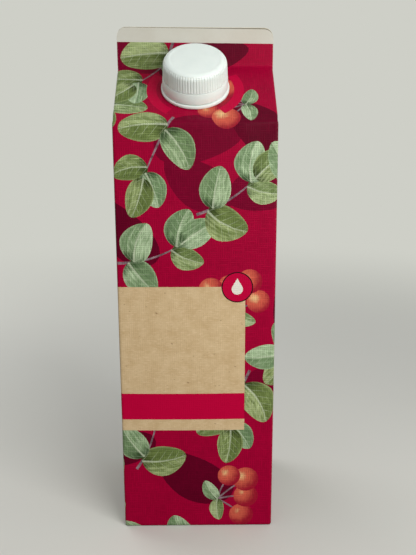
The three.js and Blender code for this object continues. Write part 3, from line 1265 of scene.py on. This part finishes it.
@dataclass
class CartonSkin:
    """The printed, folded and sealed carton."""

    blank: Blank
    print: Print
    hole_radius: float = 11.7
    hole_steps: int = 48
    pocket_radius: float = 14.3
    pocket_depth: float = 1.2
    throat_radius: float = 9.6
    throat_depth: float = 9.0
    closing_flap: float = 49.0
    ply_profile: Sequence[tuple[float, float, float]] = (
        (0.0, 0.0, 0.0), (0.03, -0.05, 0.0), (0.21, -0.05, 0.0), (0.25, 0.2, 0.0), (0.29, -0.05, 0.0),
        (0.45, -0.05, 0.0), (0.5, 0.6, 0.0), (0.52, 0.0, 0.6), (0.54, 0.0, 1.0), (0.71, 0.0, 1.0),
        (0.75, 0.2, 1.0), (0.79, 0.0, 1.0), (1.0, 0.0, 1.0),
    )
    # Faces of the ply profile in the gap between the plies, painted dark as painted shade.
    painted_gap_faces: Sequence[int] = (5, 6)
    corners: list[np.ndarray] = field(default_factory=list)
    faces: list[list[int]] = field(default_factory=list)
    inks: list[Ink] = field(default_factory=list)
    tones: list[float] = field(default_factory=list)
    flat: list[np.ndarray] = field(default_factory=list)
    motif: list[np.ndarray] = field(default_factory=list)

    def add(self, points: np.ndarray, faces: Sequence[Sequence[int]], ink: Ink, flat: np.ndarray) -> None:
        """Add plain faces to the skin.

        Args:
            points: New corners as rows, in metres.
            faces: Corner numbers of each face, counted from the first new corner.
            ink: What the faces show.
            flat: Each new corner's place on the blank.
        """
        base = sum(len(c) for c in self.corners)
        self.corners.append(points)
        for face in faces:
            self.faces.append([base + i for i in face])
            self.inks.append(ink)
            self.tones.append(0.5)
            self.flat.append(flat[list(face)])
            self.motif.append(np.zeros((len(face), 2)))

    def hole(self) -> np.ndarray:
        """Walk round the spout's hole on the blank."""
        return circle(self.print.spout_centre(), self.hole_radius, self.hole_steps)

    def mesh_points(self, outline: np.ndarray) -> tuple[np.ndarray, list[tuple[int, int]]]:
        """Spread points over the blank, dense beside its creases, and tie them along the creases.

        Args:
            outline: The blank's edge.

        Returns:
            The points as rows, and the pairs of them that an edge must join.
        """
        blank = self.blank
        s, t = np.meshgrid(blank.columns, blank.rows)
        grid = np.column_stack([s.ravel(), t.ravel()])
        extra = []
        flat, _ = blank.gusset()
        for start, end in (("corner", "apex"), ("corner", "edge"), ("edge", "ridge"), ("edge", "apex")):
            a, b = np.array(flat[start]), np.array(flat[end])
            side = np.array([a[1] - b[1], b[0] - a[0]]) / np.linalg.norm(b - a)
            for share in np.linspace(0.04, 0.96, 14):
                extra += [a + (b - a) * share + side * gap for gap in (-1.4, -0.7, 0.0, 0.7, 1.4)]
        near = np.array(extra) + np.array([0.0, blank.shoulder])
        near = near[near[:, 1] > blank.shoulder + 0.4]
        mirrored = np.column_stack([blank.panel - near[:, 0], near[:, 1]])
        panels = [p + np.array([k * blank.panel, 0.0]) for p in (near, mirrored) for k in (0, 2)]
        points = np.vstack([grid, *panels])
        clear = blank.cut_distance(points) > 0.3
        seam = (points[:, 0] > 0.2) & (points[:, 0] < blank.round_trip - 0.2)
        kept = inside(points, outline) & clear & seam
        numbers = np.cumsum(kept) - 1
        ties = [(int(numbers[a]), int(numbers[b])) for a, b in self.crease_ties() if kept[a] and kept[b]]
        return points[kept], ties

    def crease_ties(self) -> list[tuple[int, int]]:
        """Pair the neighbouring points of the grid that lie along a crease."""
        blank = self.blank
        reach = max(blank.near) + 1e-6
        order = np.arange(len(blank.rows) * len(blank.columns)).reshape(len(blank.rows), -1)
        pairs = []
        for row, t in zip(order, blank.rows):
            if min(abs(t - crease) for crease in blank.creases) <= reach:
                over_gable = t > blank.shoulder + reach
                main = (blank.columns[:-1] // blank.panel) % 2 == 1
                pairs += [pair for pair, fits in zip(zip(row, row[1:]), main) if fits or not over_gable]
        for column, s in zip(order.T, blank.columns):
            if abs((s + blank.half) % blank.panel - blank.half) <= reach:
                pairs += zip(column, column[1:])
        return pairs

    def draw(self) -> None:
        """Cut the blank along every printed outline and fold the pieces."""
        outline = np.array(self.blank.outline())
        shapes = self.print.shapes()
        loops = [outline, self.hole(), *(self.blank.split(s.outline) for s in shapes)]
        points, edges = [], []
        for loop in loops:
            base = len(points)
            points += [tuple(p) for p in loop]
            edges += [(base + i, base + (i + 1) % len(loop)) for i in range(len(loop))]
        spread, ties = self.mesh_points(outline)
        edges += [(len(points) + a, len(points) + b) for a, b in ties]
        points += [tuple(p) for p in spread]
        made = delaunay_2d_cdt([Vector(p) for p in points], edges, [], 0, 1e-4)
        flat = np.array([tuple(v) for v in made[0]])
        triangles = np.array(made[2])
        a, b, c = (flat[triangles[:, i]] for i in range(3))
        area = (b[:, 0] - a[:, 0]) * (c[:, 1] - a[:, 1]) - (b[:, 1] - a[:, 1]) * (c[:, 0] - a[:, 0])
        triangles[area < 0] = triangles[area < 0][:, ::-1]
        middle = (a + b + c) / 3
        kept = inside(middle, outline) & ~inside(middle, self.hole()) & (np.abs(area) > 1e-7)
        triangles, middle = triangles[kept], middle[kept]
        owner = np.full(len(triangles), -1)
        for number, shape in enumerate(shapes):
            low, high = shape.outline.min(0), shape.outline.max(0)
            near = np.flatnonzero(((middle > low) & (middle < high)).all(1))
            owner[near[inside(middle[near], shape.outline)]] = number
        self.corners.append(self.blank.fold(flat))
        for corners, number in zip(triangles, owner):
            shape = shapes[number] if number >= 0 else None
            self.faces.append([int(i) for i in corners])
            self.inks.append(shape.ink if shape else Ink.GROUND)
            self.tones.append(shape.tone if shape else 0.5)
            self.flat.append(flat[corners])
            self.motif.append(shape.local(flat[corners]) if shape else np.zeros((3, 2)))

    def edge_fin(self) -> None:
        """Close the fin's cut edge, ply beside ply, with the gap between the plies painted dark as painted
        shade.
        """
        front = self.blank.fin_rim()
        here = self.blank.fold(np.array(front))
        there = self.blank.fold(np.array(self.blank.behind(front)))
        run = np.gradient(here, axis=0)
        inward = np.column_stack([run[:, 2], np.zeros(len(run)), -run[:, 0]])
        inward /= np.maximum(np.linalg.norm(inward, axis=1), 1e-9)[:, None]
        middle = np.array([0.0, 0.0, (self.blank.top - self.blank.fin_half) * MM - 5 * MM])
        facing = np.sign(np.einsum("ij,ij->i", inward, middle - here))
        inward *= np.where(facing == 0, 1, facing)[:, None]
        inward[[0, 1, -2, -1]] = 0.0
        rows = []
        for across, sink, level in self.ply_profile:
            row = here + (there - here) * across
            row[:, 2] = here[:, 2] + (there - here)[:, 2] * level
            rows.append(row + inward * sink * MM)
        count, width = len(front), len(rows)
        points = np.stack(rows, axis=1).reshape(-1, 3)
        flat = np.repeat(np.array(front), width, axis=0)
        plies = {Ink.EDGE: [], Ink.SEAM: []}
        for i in range(count - 1):
            for j in range(width - 1):
                corner = i * width + j
                # The faces in the gap between the plies are painted dark as painted shade.
                ink = Ink.SEAM if j in self.painted_gap_faces else Ink.EDGE
                plies[ink].append((corner, corner + 1, corner + width + 1, corner + width))
        for ink, faces in plies.items():
            self.add(points, faces, ink, flat)

    def open_spout(self) -> None:
        """Give the spout's hole its edge, the pocket for the flange and the throat below."""
        centre = self.print.spout_centre()
        board = self.blank.board
        out = np.array([0.0, -math.sin(self.blank.slope), math.cos(self.blank.slope)]) * MM
        pocket = board + self.pocket_depth
        rings = [
            (self.hole_radius, 0.0), (self.hole_radius, board), (self.pocket_radius, board),
            (self.pocket_radius, pocket), (self.throat_radius, pocket),
            (self.throat_radius, self.throat_depth),
        ]
        steps = self.hole_steps
        loops = [self.blank.fold(circle(centre, r, steps)) - depth * out for r, depth in rings]
        faces = []
        last = (len(rings) - 1) * steps
        for base in range(0, last, steps):
            for i in range(steps):
                j = (i + 1) % steps
                faces.append((base + i, base + j, base + steps + j, base + steps + i))
        faces.append(tuple(last + i for i in range(steps)))
        flat = np.tile(self.hole(), (len(rings), 1))
        self.add(np.vstack(loops), faces, Ink.BARE, flat)

    def close_base(self) -> None:
        """Close the bottom with one face inside the rim."""
        ring = [(s, self.blank.foot) for s in self.blank.columns[:-1]]
        points = self.blank.fold(np.array(ring))
        self.add(points, [tuple(range(len(ring)))[::-1]], Ink.BARE, np.array(ring))

    def to_object(self) -> bpy.types.Object:
        """Make the mesh, with its finishes, maps and tones."""
        mesh = bpy.data.meshes.new("carton_skin")
        mesh.from_pydata(np.vstack(self.corners).tolist(), [], self.faces)
        mesh.polygons.foreach_set("material_index", [ink.value for ink in self.inks])
        for name, places, unit in (("blank", self.flat, MM), ("motif", self.motif, 1.0)):
            layer = mesh.uv_layers.new(name=name)
            layer.data.foreach_set("uv", (np.vstack(places) * unit).astype(np.float32).ravel())
        tone = mesh.attributes.new("tone", "FLOAT", "FACE")
        tone.data.foreach_set("value", np.array(self.tones, np.float32))
        piece = bpy.data.objects.new("carton_skin", mesh)
        bpy.context.scene.collection.objects.link(piece)
        return piece

    def fold_flap(self, piece: bpy.types.Object) -> None:
        """Step the bottom up one board behind the closing flap's edge."""
        edge = (self.closing_flap - self.blank.half) * MM
        low = self.blank.recess * MM
        Modelling.edit(piece)

        def on_base(face: bpy.types.MeshPolygon) -> bool:
            """Say whether a face is part of the flat bottom."""
            return face.normal.z < -0.99 and abs(face.center.z - low) < 0.05 * MM

        Modelling.pick_faces(piece, on_base)
        bpy.ops.mesh.bisect(plane_co=(0, edge, low), plane_no=(0, 1, 0))
        Modelling.pick_faces(piece, lambda face: on_base(face) and face.center.y > edge)
        bpy.ops.mesh.inset(thickness=0.02 * MM, depth=0)
        bpy.ops.mesh.extrude_region_move(TRANSFORM_OT_translate={"value": (0, 0, self.blank.board * MM)})
        bpy.ops.object.mode_set(mode="OBJECT")

    def build(self) -> bpy.types.Object:
        """Draw, fold and close the carton.

        Returns:
            The finished skin.
        """
        self.draw()
        self.edge_fin()
        self.open_spout()
        self.close_base()
        piece = self.to_object()
        Modelling.edit(piece)
        bpy.ops.mesh.select_all(action="SELECT")
        bpy.ops.mesh.remove_doubles(threshold=0.004 * MM)
        bpy.ops.mesh.dissolve_degenerate(threshold=0.001 * MM)
        bpy.ops.mesh.normals_make_consistent(inside=False)
        self.fold_flap(piece)
        Modelling.activate(piece)
        bpy.ops.object.shade_smooth_by_angle(angle=math.radians(50))
        return piece

    def dress(self, piece: bpy.types.Object) -> None:
        """Give every ink its finish."""
        sage = LeafGreens(srgb(172, 193, 154), srgb(114, 140, 98), srgb(56, 78, 46))
        olive = LeafGreens(srgb(162, 176, 122), srgb(106, 123, 66), srgb(56, 70, 30))
        finishes = {
            Ink.GROUND: BoardFinish("crimson_ground", srgb(156, 0, 47), srgb(145, 0, 43)),
            Ink.DUSK: BoardFinish("crimson_dusk", srgb(116, 0, 38), srgb(104, 0, 33), wash_scale=90.0),
            Ink.PLUM: BoardFinish("crimson_plum", srgb(96, 0, 31), srgb(82, 0, 26), wash_scale=90.0),
            Ink.LEAF: LeafFinish("brushed_leaf", sage, olive, srgb(196, 206, 176)),
            Ink.STEM: BoardFinish("mauve_stem", srgb(150, 124, 130), srgb(76, 54, 60), 0.36, 400.0, 0.9),
            Ink.BERRY: BerryFinish("peach_berry", srgb(226, 182, 128), srgb(198, 88, 68), srgb(150, 20, 42)),
            Ink.KRAFT: KraftFinish("kraft_label", srgb(205, 180, 139), srgb(190, 162, 119), 0.04, 170.0, 0.8),
            Ink.RED: BoardFinish("label_red", srgb(184, 1, 55), srgb(177, 0, 51), 0.05),
            Ink.DARK: BoardFinish("dark_ring", srgb(38, 8, 16), srgb(54, 8, 22), 0.1),
            Ink.PALE: BoardFinish("pale_drop", srgb(226, 222, 208), srgb(212, 206, 190), 0.08),
            Ink.BARE: PaperFinish("bare_board", srgb(199, 197, 184), srgb(189, 184, 168)),
            Ink.EDGE: PaperFinish("cut_board", srgb(206, 200, 176), srgb(186, 174, 140)),
            # Painted shade: dark board colour for the gap between the fin's plies.
            Ink.SEAM: PaperFinish("ply_gap_painted_shade", srgb(78, 74, 68), srgb(54, 50, 46)),
        }
        for ink in Ink:
            piece.data.materials.append(finishes[ink].make())


@dataclass
class Closure:
    """Spout, tamper band and screw cap about the spout's axis, in millimetres."""

    bore: float = 9.6
    neck: float = 11.4
    bead: float = 12.5
    flange: float = 14.0
    flange_foot: float = -1.45
    flange_top: float = -0.85
    collar: float = 14.9
    collar_foot: float = 0.3
    collar_top: float = 1.5
    band: float = 14.4
    band_shoulder: float = 14.1
    foot_bevel: float = 0.4
    band_bore: float = 12.8
    lip: float = 12.1
    cap_bore: float = 12.4
    rib_root: float = 13.85
    rib_depth: float = 0.18
    rib_bevel: float = 0.1
    rib_count: int = 72
    thread_pitch: float = 3.2
    thread_depth: float = 0.6
    thread_turn: float = 480.0
    band_foot: float = 1.8
    band_top: float = 7.0
    lip_top: float = 5.0
    bead_foot: float = 5.3
    cap_foot: float = 7.3
    cap_top: float = 15.5
    ceiling: float = 13.9
    neck_top: float = 13.6
    edge_radius: float = 2.7
    edge_steps: int = 8
    draft: float = 0.3
    cap_sill: float = 0.12
    groove_radius: float = 10.7
    groove_fade: float = 46.0

    def __post_init__(self) -> None:
        """Take the axis from the frame."""
        self.seat, self.slope = cap_axis()

    def build_spout(self) -> bpy.types.Object:
        """Model the flange, collar, neck, bead and mouth."""
        profile = [
            (self.bore, self.flange_foot), (self.flange, self.flange_foot), (self.flange, self.flange_top),
            (self.neck, self.flange_top), (self.neck, self.collar_foot), (self.collar, self.collar_foot),
            (self.collar, self.collar_top), (self.neck, self.collar_top), (self.neck, self.bead_foot),
            (self.bead, self.bead_foot), (self.bead - 0.2, self.bead_foot + 0.4),
            (self.neck, self.bead_foot + 1.0), (self.neck, self.neck_top), (self.bore, self.neck_top),
        ]
        piece = Modelling.turn("spout_fitment", profile, 96, True)
        Modelling.soften(piece, 0.15)
        thread = self.build_thread()
        Modelling.activate(piece)
        thread.select_set(True)
        bpy.ops.object.join()
        Modelling.set_down(piece, self.seat, self.slope)
        return piece

    def build_thread(self) -> bpy.types.Object:
        """Wind the neck's thread."""
        Modelling.begin()
        bpy.ops.mesh.primitive_plane_add(size=1)
        piece = bpy.context.object
        inner, outer = self.neck - 0.3, self.neck + self.thread_depth
        foot = self.bead_foot + 2.4
        corners = ((inner, foot), (outer, foot + 0.5), (inner, foot + 1.5), (outer, foot + 0.9))
        for vertex, (radius, height) in zip(piece.data.vertices, corners):
            vertex.co = (radius * MM, 0, height * MM)
        screw = piece.modifiers.new("thread", "SCREW")
        screw.axis = "Z"
        screw.angle = math.radians(self.thread_turn)
        screw.screw_offset = self.thread_pitch * MM * self.thread_turn / 360
        screw.steps = screw.render_steps = 96
        screw.use_merge_vertices = False
        bpy.ops.object.modifier_apply(modifier=screw.name)
        bpy.ops.object.mode_set(mode="EDIT")
        Modelling.weld(0.001)
        return piece

    def build_band(self) -> bpy.types.Object:
        """Model the tamper band with its inner lip."""
        profile = [
            (self.lip, self.band_foot), (self.band - self.foot_bevel, self.band_foot),
            (self.band, self.band_foot + self.foot_bevel), (self.band_shoulder, self.band_top),
            (self.band_bore, self.band_top), (self.band_bore, self.lip_top), (self.lip, self.lip_top),
        ]
        piece = Modelling.turn("tamper_ring", profile, 96, True)
        Modelling.soften(piece, 0.18, 25)
        Modelling.set_down(piece, self.seat, self.slope)
        return piece

    def build_cap(self) -> bpy.types.Object:
        """Model the ribbed cap, its rounded top and its inside."""
        rim = self.cap_top - self.edge_radius
        sill = self.cap_foot + self.cap_sill
        side = self.rib_root + self.rib_depth
        profile = [
            (0.02, self.ceiling), (self.cap_bore, self.ceiling), (self.cap_bore, self.cap_foot),
            (side, self.cap_foot), (side, sill),
        ]
        centre = side - self.draft - self.edge_radius
        for turn in np.linspace(0, math.pi / 2, self.edge_steps + 1):
            out, up = self.edge_radius * math.cos(turn), self.edge_radius * math.sin(turn)
            profile.append((centre + out, rim + up))
        ring = self.groove_radius
        profile += [
            (ring + 0.15, self.cap_top), (ring - 0.15, self.cap_top - 0.08),
            (ring - 0.5, self.cap_top - 0.05), (ring / 2, self.cap_top - 0.03), (0.5, self.cap_top - 0.02),
        ]
        piece = Modelling.turn("ribbed_cap", profile, 2 * self.rib_count, False)
        Modelling.edit(piece)
        fade = rim + self.edge_radius * math.sin(math.radians(self.groove_fade))

        def in_groove(face: bpy.types.MeshPolygon) -> bool:
            """Say whether a face lies between two ribs."""
            turn = math.degrees(math.atan2(face.center.y, face.center.x)) % 360
            even = int(turn / (180 / self.rib_count)) % 2 == 0
            outside = math.hypot(face.center.x, face.center.y) > (self.cap_bore + 0.5) * MM
            return even and outside and sill * MM < face.center.z < fade * MM

        LOG.info("ribbed_cap: %d groove faces", Modelling.pick_faces(piece, in_groove))
        bpy.ops.mesh.inset(thickness=self.rib_bevel * MM, depth=-self.rib_depth * MM)
        bpy.ops.mesh.select_all(action="SELECT")
        bpy.ops.mesh.normals_make_consistent(inside=False)
        bpy.ops.object.mode_set(mode="OBJECT")
        Modelling.soften(piece, 0.06, 32)
        Modelling.set_down(piece, self.seat, self.slope)
        return piece

    def dress(self, pieces: Iterable[bpy.types.Object]) -> None:
        """Give the pieces their white plastic."""
        plastic = PlasticFinish("white_plastic", srgb(231, 239, 231), srgb(222, 231, 224)).make()
        for piece in pieces:
            piece.data.materials.clear()
            piece.data.materials.append(plastic)


@dataclass
class Studio:
    """Floor, soft light and the camera that looks as the photograph does."""

    eye: tuple[float, float, float] = (0.00192, -0.38072, 0.21747)
    yaw: float = 0.0101
    pitch: float = 0.2655
    roll: float = 0.0035
    focal_pixels: float = 813.6
    floor_radius: float = 6.0
    backdrop: Colour = srgb(206, 207, 199)
    room: Colour = (0.95, 0.98, 1.0, 1.0)
    room_strength: float = 0.38

    def build_stage(self) -> None:
        """Lay a wide pale floor."""
        Modelling.begin()
        bpy.ops.mesh.primitive_circle_add(vertices=96, radius=self.floor_radius, fill_type="NGON")
        floor = bpy.context.object
        floor.name = "pale_floor"
        shown, uneven, bounce = srgb(212, 211, 204), srgb(207, 206, 198), srgb(122, 110, 106)
        finish = StageFinish("pale_stage", shown, uneven, self.backdrop, bounce)
        floor.data.materials.append(finish.make())

    def build_room(self) -> None:
        """Fill with even light from all round, and show the backdrop's colour behind the object."""
        world = bpy.data.worlds.new("soft_room")
        bpy.context.scene.world = world
        world.use_nodes = True
        tree = world.node_tree
        light = tree.nodes["Background"]
        light.inputs["Color"].default_value = self.room
        light.inputs["Strength"].default_value = self.room_strength
        shown = tree.nodes.new("ShaderNodeBackground")
        shown.inputs["Color"].default_value = self.backdrop
        seen = tree.nodes.new("ShaderNodeLightPath")
        mixed = tree.nodes.new("ShaderNodeMixShader")
        tree.links.new(seen.outputs["Is Camera Ray"], mixed.inputs[0])
        tree.links.new(light.outputs[0], mixed.inputs[1])
        tree.links.new(shown.outputs[0], mixed.inputs[2])
        tree.links.new(mixed.outputs[0], tree.nodes["World Output"].inputs["Surface"])

    def build_lamps(self) -> None:
        """Hang a soft lamp at the right-hand front, a wide one overhead and a weak one behind."""
        aim = Vector((0, 0, 0.12))
        for name, place, size, power in (
            ("side_lamp", (0.25, -0.41, 0.30), 0.34, 2.35),
            ("top_lamp", (0.05, -0.05, 1.05), 0.9, 0.8),
            ("rear_lamp", (-0.36, 0.34, 0.34), 0.4, 1.1),
        ):
            lamp = bpy.data.lights.new(name, "AREA")
            lamp.size = size
            lamp.energy = power
            holder = bpy.data.objects.new(name, lamp)
            holder.location = place
            holder.rotation_euler = (aim - Vector(place)).to_track_quat("-Z", "Y").to_euler()
            holder.visible_camera = False
            bpy.context.scene.collection.objects.link(holder)

    def build_camera(self) -> None:
        """Stand the camera where the photograph was taken from."""
        lens = bpy.data.cameras.new("camera")
        lens.sensor_width = 36.0
        lens.lens = lens.sensor_width * self.focal_pixels / IMAGE_HEIGHT
        lens.clip_start = 0.01
        camera = bpy.data.objects.new("camera", lens)
        camera.location = self.eye
        camera.rotation_euler = (math.pi / 2 - self.pitch, self.roll, -self.yaw)
        bpy.context.scene.collection.objects.link(camera)
        bpy.context.scene.camera = camera

    def build(self) -> None:
        """Set the whole stage."""
        self.build_camera()
        self.build_stage()
        self.build_room()
        self.build_lamps()
        bpy.context.scene.view_settings.view_transform = "Standard"


def settle(piece: bpy.types.Object, body: str, node: str) -> None:
    """Tie a finished piece to the frame.

    Args:
        piece: The piece.
        body: The body that carries it.
        node: The frame's node that it stands for.
    """
    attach(piece, body)
    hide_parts(node)
    LOG.info("%s: %d faces, on %s, for %s", piece.name, len(piece.data.polygons), body, node)


def main() -> None:
    """Build the stage, the carton and its closure, and report each piece."""
    logging.basicConfig(level=logging.INFO, format="%(name)s: %(message)s")
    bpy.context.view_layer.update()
    Studio().build()
    blank = Blank.from_frame()
    skin = CartonSkin(blank, Print(blank))
    carton = skin.build()
    skin.dress(carton)
    settle(carton, "pack", "carton")
    closure = Closure()
    spout, band, cap = closure.build_spout(), closure.build_band(), closure.build_cap()
    closure.dress((spout, band, cap))
    settle(spout, "pack", "spout")
    settle(band, "band", "tamper_band")
    settle(cap, "cap", "screw_cap")
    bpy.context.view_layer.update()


if __name__ == "__main__":
    main()
